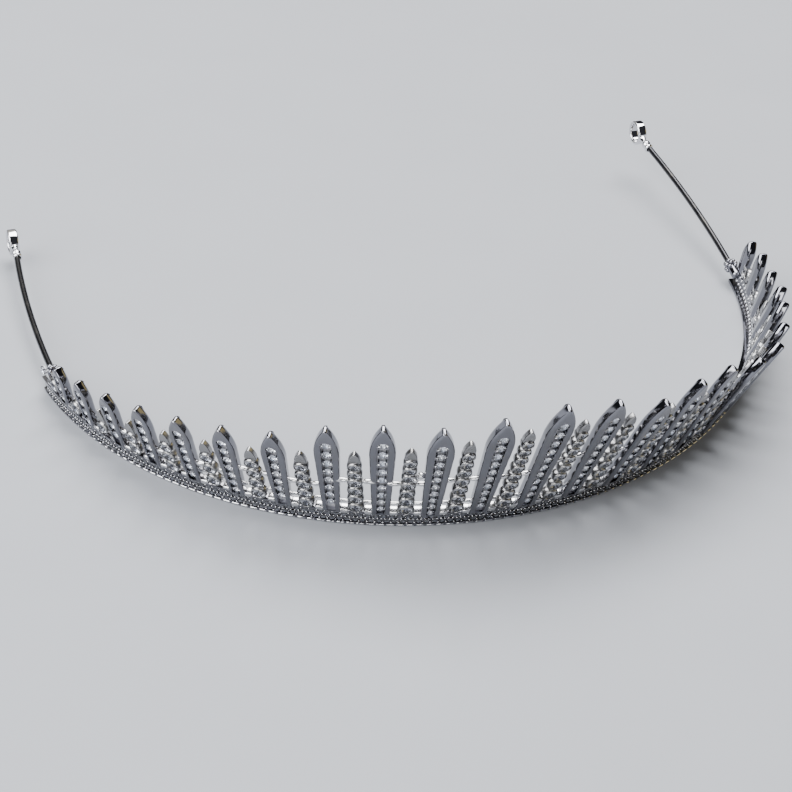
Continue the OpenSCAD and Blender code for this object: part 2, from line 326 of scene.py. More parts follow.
@dataclass(frozen=True)
class WireRoute:
    """Where one side wire starts, ends and bows."""

    plan: Plan
    side: Side

    @property
    def start(self) -> Vector:
        """Start of the wire.

        Returns:
            Point in the band's socket.
        """
        p, angle = self.plan, self.plan.side_rays * self.plan.step
        radius = p.rim_r - p.start_in
        return Vector((self.side.value * radius * math.sin(angle), -radius * math.cos(angle), p.start_z))

    @property
    def end(self) -> Vector:
        """End of the wire's chord.

        Returns:
            Centre of the end loop.
        """
        p = self.plan
        height = p.left_loop_z if self.side is Side.LEFT else p.right_loop_z
        return Vector((self.side.value * p.loop_out, p.loop_back, height))

    @property
    def span(self) -> float:
        """Straight distance from start to loop centre."""
        return (self.end - self.start).length

    @property
    def length(self) -> float:
        """Distance from the start to the wire's end in the loop's collar."""
        p = self.plan
        return self.span - p.loop_d / 2 - p.shank_len - (p.collar_len - p.collar_depth)

    @property
    def bow_r(self) -> float:
        """Radius of the wire's arc."""
        return ((self.length / 2) ** 2 + self.plan.wire_bow ** 2) / (2 * self.plan.wire_bow)

    @property
    def half_arc(self) -> float:
        """Half the angle of the wire's arc, in radians."""
        return math.asin(self.length / 2 / self.bow_r)

    @property
    def along(self) -> Matrix:
        """Matrix that puts Y along the chord from the wire's start."""
        d = self.end - self.start
        return (Matrix.Translation(self.start) @ Matrix.Rotation(math.atan2(-d.x, d.y), 4, "Z")
                @ Matrix.Rotation(math.asin(d.z / d.length), 4, "X"))

    @property
    def at_start(self) -> Matrix:
        """Matrix that puts Y along the wire's own end in the band."""
        return self.along @ Matrix.Rotation(-self.side.value * self.half_arc, 4, "Z")


class Bench:
    """One mesh that is being shaped, with the edit-mode calls used on it."""

    def __init__(self, obj: Obj) -> None:
        """Take an object to the bench."""
        self.obj = obj

    @staticmethod
    def clear() -> None:
        """Leave edit mode and deselect everything."""
        if bpy.context.object and bpy.context.object.mode != "OBJECT":
            bpy.ops.object.mode_set(mode="OBJECT")
        bpy.ops.object.select_all(action="DESELECT")

    @classmethod
    def start(cls, name: str, primitive: Callable[..., object], **sizes: object) -> "Bench":
        """Add a primitive at the origin and start shaping it.

        Args:
            name: Name of the object and its mesh.
            primitive: Operator that adds it.
            **sizes: The operator's values.

        Returns:
            The bench, in edit mode with all selected.
        """
        cls.clear()
        primitive(**sizes)
        obj = bpy.context.object
        obj.name = name
        obj.data.name = name
        bpy.ops.object.mode_set(mode="EDIT")
        return cls(obj)

    @classmethod
    def circle(cls, name: str, sides: int, radius: float, z: float = 0.0, filled: bool = True) -> "Bench":
        """Start from a circle in the XY plane.

        Args:
            name: Name of the piece.
            sides: Number of vertices.
            radius: Radius in millimetres.
            z: Height of the circle.
            filled: Whether it is a face or only an outline.

        Returns:
            The bench in edit mode.
        """
        bench = cls.start(name, bpy.ops.mesh.primitive_circle_add, vertices=sides, radius=radius,
                          fill_type="NGON" if filled else "NOTHING")
        bench.move(0, 0, z)
        return bench

    @classmethod
    def outline(cls, name: str, points: Sequence[Sequence[float]]) -> "Bench":
        """Start from a closed outline: a circle's vertices moved to given points.

        Args:
            name: Name of the piece.
            points: Corners in order, as X, Y, Z.

        Returns:
            The bench in edit mode with the outline selected.
        """
        bench = cls.circle(name, len(points), 1.0, filled=False)
        mesh = bmesh.from_edit_mesh(bench.obj.data)
        for vertex, point in zip(mesh.verts, points):
            vertex.co = point
        bmesh.update_edit_mesh(bench.obj.data)
        return bench

    @classmethod
    def ball(cls, name: str, radius: float, sides: int) -> Obj:
        """Shape a finished smooth ball with a number of segments round it."""
        bench = cls.start(name, bpy.ops.mesh.primitive_uv_sphere_add, segments=sides,
                          ring_count=max(4, sides // 2 + 1), radius=radius)
        return bench.finish(smooth=80)

    @classmethod
    def rod(cls, name: str, sides: int, radius: float, length: float, z: float = 0.0) -> "Bench":
        """Start from a cylinder along Z.

        Args:
            name: Name of the piece.
            sides: Number of sides.
            radius: Radius in millimetres.
            length: Height in millimetres.
            z: Height of its foot.

        Returns:
            The bench in edit mode.
        """
        bench = cls.circle(name, sides, radius, z)
        bench.extrude(length)
        bench.outward()
        return bench

    def pick(self, faces: PairTest | None = None, edges: PairTest | None = None,
             points: Callable[[Vector], bool] | None = None) -> None:
        """Select faces, edges or vertices by their place.

        Args:
            faces: Test on a face's centre and normal.
            edges: Test on an edge's two ends.
            points: Test on a vertex's place.
        """
        mode = "FACE" if faces else "EDGE" if edges else "VERT"
        bpy.ops.mesh.select_mode(type=mode)
        bpy.ops.mesh.select_all(action="DESELECT")
        mesh = bmesh.from_edit_mesh(self.obj.data)
        if faces:
            found = [f for f in mesh.faces if faces(f.calc_center_median(), f.normal)]
        elif edges:
            found = [e for e in mesh.edges if edges(e.verts[0].co, e.verts[1].co)]
        else:
            found = [v for v in mesh.verts if points(v.co)]
        for item in found:
            item.select = True
        mesh.select_flush_mode()
        bmesh.update_edit_mesh(self.obj.data)

    def all(self) -> None:
        """Select the whole mesh."""
        bpy.ops.mesh.select_all(action="SELECT")

    def fill(self) -> None:
        """Close the selected outline with a face."""
        bpy.ops.mesh.edge_face_add()

    def extrude(self, rise: float, along: Sequence[float] = (0, 0, 1)) -> None:
        """Extrude what is selected."""
        move = [rise * share for share in along]
        bpy.ops.mesh.extrude_region_move(TRANSFORM_OT_translate={"value": move})

    def move(self, x: float, y: float, z: float) -> None:
        """Move what is selected."""
        bpy.ops.transform.translate(value=(x, y, z))

    def scale(self, x: float, y: float, z: float, centre: Sequence[float] = (0, 0, 0)) -> None:
        """Resize what is selected about a point."""
        bpy.ops.transform.resize(value=(x, y, z), center_override=centre)

    def turn(self, angle: float, axis: str) -> None:
        """Turn what is selected about an axis through the origin."""
        bpy.ops.transform.rotate(value=angle, orient_axis=axis, center_override=(0, 0, 0))

    def spin(self, steps: int, axis: Sequence[int], angle: float = math.tau,
             centre: Sequence[float] = (0, 0, 0)) -> None:
        """Spin what is selected through an angle in radians about an axis through a point."""
        bpy.ops.mesh.spin(steps=steps, angle=angle, center=centre, axis=axis)
        self.outward()

    def bevel(self, width: float, segments: int = 2) -> None:
        """Round the selected edges."""
        bpy.ops.mesh.bevel(offset=width, offset_type="OFFSET", segments=segments, profile=0.5,
                           clamp_overlap=False)

    def soften(self, width: float, segments: int, angle: float) -> None:
        """Round every edge that is sharper than an angle in degrees."""
        self.modifier("BEVEL", width=width, segments=segments, limit_method="ANGLE",
                      angle_limit=math.radians(angle), use_clamp_overlap=False)

    def outward(self) -> None:
        """Merge doubles and turn all faces outwards."""
        self.all()
        bpy.ops.mesh.remove_doubles(threshold=MERGE)
        bpy.ops.mesh.normals_make_consistent(inside=False)

    def modifier(self, kind: str, **settings: object) -> None:
        """Add a modifier, set it and apply it.

        Args:
            kind: Modifier type.
            **settings: Its values.
        """
        self.focus()
        made = self.obj.modifiers.new(kind.title(), kind)
        for key, value in settings.items():
            setattr(made, key, value)
        bpy.ops.object.modifier_apply(modifier=made.name)

    def focus(self) -> None:
        """Leave edit mode with this as the only selected object."""
        Bench.clear()
        self.obj.select_set(True)
        bpy.context.view_layer.objects.active = self.obj

    def finish(self, smooth: float | None = 35.0, weighted: bool = False) -> Obj:
        """Leave edit mode and set the shading.

        Args:
            smooth: Angle in degrees under which edges look round, or None for flat facets.
            weighted: Whether flat faces keep flat shading beside their rounded edges.

        Returns:
            The finished object.
        """
        self.focus()
        if smooth is None:
            bpy.ops.object.shade_flat()
        else:
            bpy.ops.object.shade_smooth_by_angle(angle=math.radians(smooth))
        if weighted:
            self.modifier("WEIGHTED_NORMAL", keep_sharp=True, weight=50)
        return self.obj


class Assembly:
    """Copying, joining, placing and handing over finished pieces."""

    @staticmethod
    def seat(at: Matrix, v: float, z: float, size: Sequence[float], turn: float = 0.0) -> Matrix:
        """Matrix that sizes a pattern, turns it about Z and sets it at height v of a flat ray."""
        return (at @ Matrix.Translation((0, v, z)) @ Matrix.Rotation(turn, 4, "Z")
                @ Matrix.Diagonal((*size, 1)))

    @staticmethod
    def place(obj: Obj, matrix: Matrix = ORIGIN) -> Obj:
        """Move a mesh from the bench, in millimetres, to its place in metres.

        Args:
            obj: Finished object at the origin.
            matrix: Place in the tiara, in millimetres.

        Returns:
            The same object.
        """
        obj.data.transform(Matrix.Scale(MM, 4) @ matrix)
        obj.data.update()
        return obj

    @staticmethod
    def copy(source: Obj, matrix: Matrix) -> Obj:
        """Copy a piece with its own mesh and move the copy.

        Args:
            source: Piece to copy.
            matrix: Move of the copy, in millimetres.

        Returns:
            The copy.
        """
        twin = source.copy()
        twin.data = source.data.copy()
        twin.data.transform(matrix)
        bpy.context.scene.collection.objects.link(twin)
        return twin

    @staticmethod
    def join(name: str, parts: Sequence[Obj]) -> Obj:
        """Join parts into one piece.

        Args:
            name: Name of the piece.
            parts: Objects to join.

        Returns:
            The joined object.
        """
        Bench.clear()
        for part in parts:
            part.select_set(True)
        whole = parts[0]
        bpy.context.view_layer.objects.active = whole
        if len(parts) > 1:
            bpy.ops.object.join()
        whole.name = name
        whole.data.name = name
        return whole

    @classmethod
    def repeat(cls, name: str, pattern: Obj, moves: Iterable[Matrix], keep: bool = False) -> Obj:
        """Join one copy of a pattern for each move.

        Args:
            name: Name of the joined piece.
            pattern: Piece to repeat.
            moves: A matrix for each copy, in millimetres.
            keep: Whether the pattern is needed again.

        Returns:
            The joined object.
        """
        whole = cls.join(name, [cls.copy(pattern, move) for move in moves])
        if not keep:
            cls.discard(pattern)
        return whole

    @staticmethod
    def discard(*objs: Obj) -> None:
        """Remove patterns and cutters that are no longer needed."""
        for obj in objs:
            mesh = obj.data
            bpy.data.objects.remove(obj)
            bpy.data.meshes.remove(mesh)

    @staticmethod
    def hand_over(obj: Obj, finish: Material, slot: Slot = Slot.SILVER, node: str = FRAME) -> None:
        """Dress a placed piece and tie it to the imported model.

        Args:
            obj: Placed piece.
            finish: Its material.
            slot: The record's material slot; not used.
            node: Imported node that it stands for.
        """
        obj.data.materials.clear()
        obj.data.materials.append(finish)
        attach(obj, BODY)
        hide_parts(node)
        LOG.info("%s: %d faces", obj.name, len(obj.data.polygons))


class Signal:
    """A number or a node socket that Python operators combine into Math nodes."""

    def __init__(self, shader: "Shader", value: "bpy.types.NodeSocket | float") -> None:
        """Wrap a value for use in a shader's nodes."""
        self.shader = shader
        self.value = value

    def _math(self, operation: str, other: object) -> "Signal":
        """Join this value and another with a Math node."""
        node = self.shader.node("ShaderNodeMath", {"operation": operation}, {0: self, 1: other})
        return Signal(self.shader, node.outputs[0])

    def __add__(self, other: object) -> "Signal":
        """Sum."""
        return self._math("ADD", other)

    def __mul__(self, other: object) -> "Signal":
        """Product."""
        return self._math("MULTIPLY", other)


class Shader:
    """Nodes of one material, added by type and joined by expressions."""

    def __init__(self, name: str) -> None:
        """Start a material with one surface shader.

        Args:
            name: Name of the material.
        """
        self.material = bpy.data.materials.new(name)
        self.material.use_nodes = True
        self.tree = self.material.node_tree
        self.surface = next(n for n in self.tree.nodes if n.type == "BSDF_PRINCIPLED")
        self.coords = self.tree.nodes.new("ShaderNodeTexCoord").outputs["Object"]

    def node(self, kind: str, settings: dict[str, object],
             inputs: dict[str | int, object]) -> bpy.types.Node:
        """Add one node.

        Args:
            kind: Node type.
            settings: Values set on the node.
            inputs: Values or links of its sockets.

        Returns:
            The node.
        """
        node = self.tree.nodes.new(kind)
        for key, value in settings.items():
            setattr(node, key, value)
        for key, value in inputs.items():
            self.join(node.inputs[key], value)
        return node

    def join(self, socket: bpy.types.NodeSocket, value: object) -> None:
        """Link a socket to a value, or set it.

        Args:
            socket: Input socket.
            value: Signal, socket or constant.
        """
        if isinstance(value, Signal):
            value = value.value
        if isinstance(value, bpy.types.NodeSocket):
            self.tree.links.new(value, socket)
        else:
            socket.default_value = value

    def noise(self, scale: float | tuple[float, float, float], detail: float) -> Signal:
        """Noise over the piece's own coordinates.

        Args:
            scale: Waves for each metre, the same or for each axis.
            detail: Octaves.

        Returns:
            Value from 0 to 1.
        """
        sizes = scale if isinstance(scale, tuple) else (scale, scale, scale)
        mapping = self.node("ShaderNodeMapping", {}, {"Vector": self.coords, "Scale": sizes})
        noise = self.node("ShaderNodeTexNoise", {},
                          {"Vector": mapping.outputs[0], "Scale": 1.0, "Detail": detail})
        return Signal(self, noise.outputs[0])

    def mix(self, share: Signal, first: Colour, second: Colour) -> bpy.types.NodeSocket:
        """Blend two colours by the share of the second one."""
        node = self.node("ShaderNodeMix", {"data_type": "RGBA"},
                         {0: share, 6: (*first, 1.0), 7: (*second, 1.0)})
        return node.outputs[2]

    def ramp(self, signal: Signal, low: float, high: float) -> Signal:
        """Stretch a value so that low becomes 0 and high becomes 1.

        Args:
            signal: Value to stretch.
            low: Lower stop.
            high: Upper stop.

        Returns:
            Stretched value, held within 0 and 1.
        """
        node = self.node("ShaderNodeValToRGB", {}, {0: signal})
        for element, stop, grey in zip(node.color_ramp.elements, (low, high), (0, 1)):
            element.position = stop
            element.color = (grey, grey, grey, 1)
        return Signal(self, node.outputs[0])

    def set(self, **values: object) -> None:
        """Set or link sockets of the surface shader, underscores standing for spaces."""
        for key, value in values.items():
            self.join(self.surface.inputs[key.replace("_", " ")], value)


@dataclass(frozen=True)
class MetalFinish:
    """Polished white metal with faint polishing lines, handling marks and a trace of tarnish; each finish's
    tint carries painted light and shade.
    """

    name: str
    # Default tint is painted shade: far darker than silver, it stands in for the shaded ground that
    # polished faces reflect.
    tint: Colour = (0.21, 0.212, 0.236)
    tarnish: Colour = (0.17, 0.155, 0.13)
    tarnish_share: float = 0.25
    roughness: float = 0.05
    cloud: float = 0.07
    lines: float = 0.012
    cloud_scale: float = 260.0
    cloud_stops: tuple[float, float] = (0.48, 0.72)
    line_scale: tuple[float, float, float] = (900.0, 900.0, 7000.0)
    line_share: float = 0.7
    line_roughness: float = 0.02
    pit_scale: float = 5200.0
    relief: float = 0.00002

    def material(self) -> Material:
        """Build the material.

        Returns:
            The finished material.
        """
        shader = Shader(self.name)
        cloud = shader.noise(self.cloud_scale, detail=4.0)
        lines = shader.noise(self.line_scale, detail=2.0)
        pits = shader.noise(self.pit_scale, detail=2.0)
        dull = shader.ramp(cloud, *self.cloud_stops)
        height = lines * self.line_share + pits * (1 - self.line_share)
        bump = shader.node("ShaderNodeBump", {},
                           {"Strength": self.lines, "Distance": self.relief, "Height": height})
        shader.set(Base_Color=shader.mix(dull * self.tarnish_share, self.tint, self.tarnish),
                   Metallic=1.0,
                   Roughness=dull * self.cloud + self.roughness + lines * self.line_roughness,
                   Normal=bump.outputs[0])
        return shader.material


@dataclass(frozen=True)
class StoneFinish:
    """Clear cut crystal, with a faint breath of colour and handling haze."""

    name: str
    clear: Colour = (0.98, 0.985, 1.0)
    breath: Colour = (0.86, 0.91, 1.0)
    ior: float = 1.85
    haze: float = 0.03
    stone_scale: float = 520.0
    haze_scale: float = 3120.0
    breath_stops: tuple[float, float] = (0.35, 0.65)

    def material(self) -> Material:
        """Build the material.

        Returns:
            The finished material.
        """
        shader = Shader(self.name)
        stones = shader.ramp(shader.noise(self.stone_scale, detail=1.0), *self.breath_stops)
        haze = shader.noise(self.haze_scale, detail=2.0)
        shader.set(Base_Color=shader.mix(stones, self.clear, self.breath),
                   Roughness=haze * self.haze,
                   Transmission_Weight=1.0, IOR=self.ior)
        return shader.material


@dataclass(frozen=True)
class FloorFinish:
    """Plain pale matt board."""

    name: str = "pale_board"
    tone: Colour = (0.31, 0.32, 0.345)
    deep: Colour = (0.29, 0.3, 0.325)
    cloud_scale: float = 40.0
    roughness: float = 0.85

    def material(self) -> Material:
        """Build the material.

        Returns:
            The finished material.
        """
        shader = Shader(self.name)
        cloud = shader.noise(self.cloud_scale, detail=3.0)
        shader.set(Base_Color=shader.mix(cloud, self.tone, self.deep), Roughness=self.roughness)
        return shader.material


class Finishes:
    """The materials of the tiara's pieces."""

    def __init__(self) -> None:
        """Mix every material once."""
        # Painted shade: the dark default tint stands in for the shaded ground that the rays' faces reflect.
        self.polished = MetalFinish("polished_silver").material()
        # Painted highlight: the light tint makes rim cushions, pave beads and end loops read as brightly
        # lit.
        self.bright = MetalFinish("bright_silver", tint=(0.74, 0.74, 0.76), roughness=0.03,
                                  cloud=0.04).material()
        # Painted shade: the collets' tint is darkened so they read as reflecting shaded ground; the
        # roughness spreads their highlights.
        self.cast = MetalFinish("cast_silver", tint=(0.32, 0.318, 0.32), roughness=0.25,
                                lines=0.02).material()
        # Painted shade: the dark tint stands in for the shade the band sits in under the leaning rays.
        self.band = MetalFinish("band_silver", tint=(0.2, 0.2, 0.22), roughness=0.08).material()
        # Painted light: the pale rough tint lifts the shaded channel floors to the tone of the rays' faces.
        self.channel = MetalFinish("channel_silver", tint=(0.85, 0.85, 0.88), roughness=0.65,
                                   tarnish_share=0.0).material()
        self.foil = MetalFinish("foil_backs", tint=(0.9, 0.9, 0.92), roughness=0.4, cloud=0.0,
                                tarnish_share=0.0).material()
        # Painted shade: the dark backs make the collet stones show dark, in place of the shaded
        # surroundings seen through them.
        self.dark_foil = MetalFinish("dark_backs", tint=(0.12, 0.12, 0.14), roughness=0.12).material()
        # Painted highlight: the light tint makes foot pads, bars, links and knot balls read as brightly
        # lit.
        self.solder = MetalFinish("solder", tint=(0.66, 0.66, 0.67), roughness=0.16,
                                  cloud=0.04).material()
        # Partly the wire's own dark colour, and darkened further as painted shade to dim its highlight to a
        # grey line.
        self.drawn = MetalFinish("drawn_wire", tint=(0.06, 0.06, 0.065), roughness=0.25).material()
        self.crystal = StoneFinish("clear_crystal").material()
        self.pave_crystal = StoneFinish("pave_crystal", ior=2.0).material()
        # Painted shade: the grey glass darkens the collet stones in place of the shaded surroundings they
        # show.
        self.collet_crystal = StoneFinish("collet_crystal", clear=(0.5, 0.51, 0.55),
                                          breath=(0.42, 0.44, 0.5), ior=1.6).material()


@dataclass(frozen=True)
class Gems:
    """Cut stones of radius 1: a round brilliant with its silvered back, and a low one for the pave."""

    girdle: float = 0.03
    table: float = 0.56
    crown_angle: float = 34.5
    star_angle: float = 21.0
    upper_angle: float = 41.0
    pavilion_angle: float = 39.0
    lower_angle: float = 40.5
    culet: float = 0.34
    level: float = 0.0001
    blank_foot: float = -1.2
    blank_h: float = 1.9
    foil_r: float = 0.98
    foil_gap: float = 0.03
    foil_point: float = 0.15
    foil_over: float = 0.01
    low_foot: float = -0.3
    low_wall: float = 0.35
    low_crown: float = 0.36

    def cut(self, bench: Bench, turn: float, tilt: float, reach: float, z: float) -> None:
        """Grind one facet: cut off all that lies outside a slanted plane.

        Args:
            bench: Stone on the bench.
            turn: Azimuth of the facet in radians.
            tilt: Slope of the facet from the girdle plane in degrees, negative below it.
            reach: Distance of a point of the plane from the axis.
            z: Height of that point.
        """
        slope = math.radians(tilt)
        out = abs(math.sin(slope))
        rise = math.copysign(math.cos(slope), tilt)
        bench.all()
        bpy.ops.mesh.bisect(plane_co=(math.cos(turn) * reach, math.sin(turn) * reach, z),
                            plane_no=(math.cos(turn) * out, math.sin(turn) * out, rise),
                            use_fill=True, clear_outer=True, threshold=NEAR)

    def brilliant(self) -> Obj:
        """A round brilliant, table up.

        Returns:
            The cut stone.
        """
        bench = Bench.rod("brilliant", sides=16, radius=1.0, length=self.blank_h, z=self.blank_foot)
        apothem = math.cos(math.pi / 16)
        crown = self.girdle + (1 - self.table) * math.tan(math.radians(self.crown_angle))
        table_edge = self.table * math.cos(math.pi / 8)
        self.cut(bench, 0.0, self.level, 0.0, crown)
        self.cut(bench, 0.0, -self.level, 0.0, -self.girdle - 2 * self.culet)
        for i in range(8):
            turn = i * math.pi / 4
            self.cut(bench, turn, self.crown_angle, 1.0, self.girdle)
            self.cut(bench, turn, -self.pavilion_angle, 1.0, -self.girdle)
            self.cut(bench, turn + math.pi / 8, self.star_angle, table_edge, crown)
        for i in range(16):
            turn = (i + 0.5) * math.pi / 8
            self.cut(bench, turn, self.upper_angle, apothem, self.girdle)
            self.cut(bench, turn, -self.lower_angle, apothem, -self.girdle)
        bench.all()
        bpy.ops.mesh.normals_make_consistent(inside=False)
        return bench.finish(smooth=None)

    def foil(self) -> Obj:
        """Silvered back of a brilliant: an open cup just under its pavilion.

        Returns:
            The cup.
        """
        bench = Bench.circle("foil", sides=16, radius=self.foil_r, z=-self.girdle - self.foil_gap)
        bench.extrude(-2 * self.culet - self.foil_over)
        bench.scale(self.foil_point, self.foil_point, 1.0)
        bench.pick(faces=lambda c, n: abs(n.z) > 0.99 and c.z > -2 * self.girdle - SLACK)
        bpy.ops.mesh.delete(type="FACE")
        bench.outward()
        return bench.finish(smooth=50)

    def low_stone(self) -> Obj:
        """A pave stone: table, eight crown facets and a flat back.

        Returns:
            The cut stone.
        """
        bench = Bench.circle("low_stone", sides=8, radius=1.0, z=self.low_foot)
        bench.extrude(self.low_wall)
        bench.extrude(self.low_crown)
        bench.scale(self.table, self.table, 1.0)
        bench.turn(math.pi / 8, "Z")
        bench.outward()
        return bench.finish(smooth=None)


@dataclass(frozen=True)
class Claws:
    """Four small round-topped posts that hold a stone of radius 1."""

    radius: float = 0.17
    reach: float = 1.02
    angle: float = 42.0
    top: float = 0.16
    foot: float = -0.8
    rounding: float = 0.8

    def build(self) -> Obj:
        """Model one post and copy it round the stone.

        Returns:
            Four posts as one object.
        """
        height = self.top - self.foot
        bench = Bench.rod("claw", sides=8, radius=self.radius, length=height)
        bench.pick(edges=lambda a, b: min(a.z, b.z) > height - SLACK)
        bench.bevel(self.radius * self.rounding)
        moves = []
        for degrees in (self.angle, 180 - self.angle, 180 + self.angle, -self.angle):
            a = math.radians(degrees)
            x, y = self.reach * math.cos(a), self.reach * math.sin(a)
            moves.append(Matrix.Translation((x, y, self.foot)))
        return Assembly.repeat("claws", bench.finish(), moves)


class Patterns:
    """Stones, a silvered back and claws of radius 1, to be copied into their settings."""

    def __init__(self) -> None:
        """Shape every pattern once."""
        gems = Gems()
        self.gem, self.cup, self.low_stone = gems.brilliant(), gems.foil(), gems.low_stone()
        self.claws = Claws().build()

    def set_stones(self, node: str, moves: Sequence[Matrix], crystal: Material, foil: Material) -> None:
        """Set brilliants with their silvered backs and hand them over.

        Args:
            node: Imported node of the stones.
            moves: A matrix for each stone.
            crystal: Finish of the stones.
            foil: Finish of their backs.
        """
        stones = Assembly.repeat(node + "_cut", self.gem, moves, keep=True)
        Assembly.hand_over(Assembly.place(stones), crystal, Slot.CRYSTAL, node)
        backs = Assembly.repeat(node + "_backs", self.cup, moves, keep=True)
        Assembly.hand_over(Assembly.place(backs), foil)

    def discard(self) -> None:
        """Remove the patterns."""
        Assembly.discard(self.gem, self.cup, self.low_stone, self.claws)


@dataclass(frozen=True)
class PointedSlab:
    """A slab with straight sides up to its shoulders, two arcs and a rounded tip."""

    name: str
    width: float
    foot_width: float
    foot: float
    tip: float
    point: float
    ridge: float
    front: float
    back: float
    edges: tuple[float, float]
    side_steps: int = 6
    arc_steps: int = 9
    tip_steps: int = 4

    def stations(self) -> list[tuple[float, float]]:
        """Heights and half widths of the outline from foot to tip.

        Returns:
            Pairs of height and half width.
        """
        rise = self.point - self.ridge
        radius = (self.width ** 2 / 4 + rise ** 2 - self.ridge ** 2) / (self.width - 2 * self.ridge)
        last = math.asin(rise / (radius - self.ridge))
        shoulder = self.tip - self.point
        rows = [(self.foot + (shoulder - self.foot) * i / self.side_steps,
                 self.foot_width / 2 + (self.width - self.foot_width) / 2 * i / self.side_steps)
                for i in range(self.side_steps)]
        for i in range(self.arc_steps + 1):
            a = last * i / self.arc_steps
            rows.append((shoulder + radius * math.sin(a), radius * math.cos(a) - radius + self.width / 2))
        for i in range(1, self.tip_steps):
            a = last + (math.pi / 2 - last) * i / self.tip_steps
            rows.append((self.tip - self.ridge + self.ridge * math.sin(a), self.ridge * math.cos(a)))
        return rows

    def shape(self) -> Bench:
        """Draw the outline upwards from its foot, give it thickness and round its edges.

        Returns:
            The bench in edit mode.
        """
        rows = self.stations()
        (v0, w0), (v1, w1) = rows[:2]
        middle = (v0 + v1) / 2
        bench = Bench.start(self.name, bpy.ops.mesh.primitive_plane_add, size=1.0)
        bench.scale(2 * w0, v1 - v0, 1.0)
        bench.move(0, middle, self.front)
        bench.pick(points=lambda p: p.y > middle)
        bench.scale(w1 / w0, 1, 1, (0, v1, self.front))
        for (low, half), (high, next_half) in zip(rows[1:], rows[2:]):
            bench.pick(edges=lambda a, b, low=low: min(a.y, b.y) > low - MERGE)
            bench.extrude(high - low, (0, 1, 0))
            bench.scale(next_half / half, 1, 1, (0, high, self.front))
        bench.all()
        bench.extrude(self.back - self.front)
        bench.pick(edges=lambda a, b: abs(a.y - b.y) < NEAR and abs(a.z - b.z) < NEAR
                   and rows[0][0] + SLACK < a.y < rows[-1][0] - SLACK)
        bpy.ops.mesh.dissolve_edges(use_verts=False)
        bench.outward()
        for level, width in zip((self.front, self.back), self.edges):
            bench.pick(edges=lambda a, b, level=level: max(abs(a.z - level), abs(b.z - level)) < NEAR)
            bench.bevel(width, segments=4)
        return bench


@dataclass
class Part:
    """A sub-assembly, with the plan, materials and patterns that it is built from."""

    plan: Plan
    finishes: Finishes
    patterns: Patterns


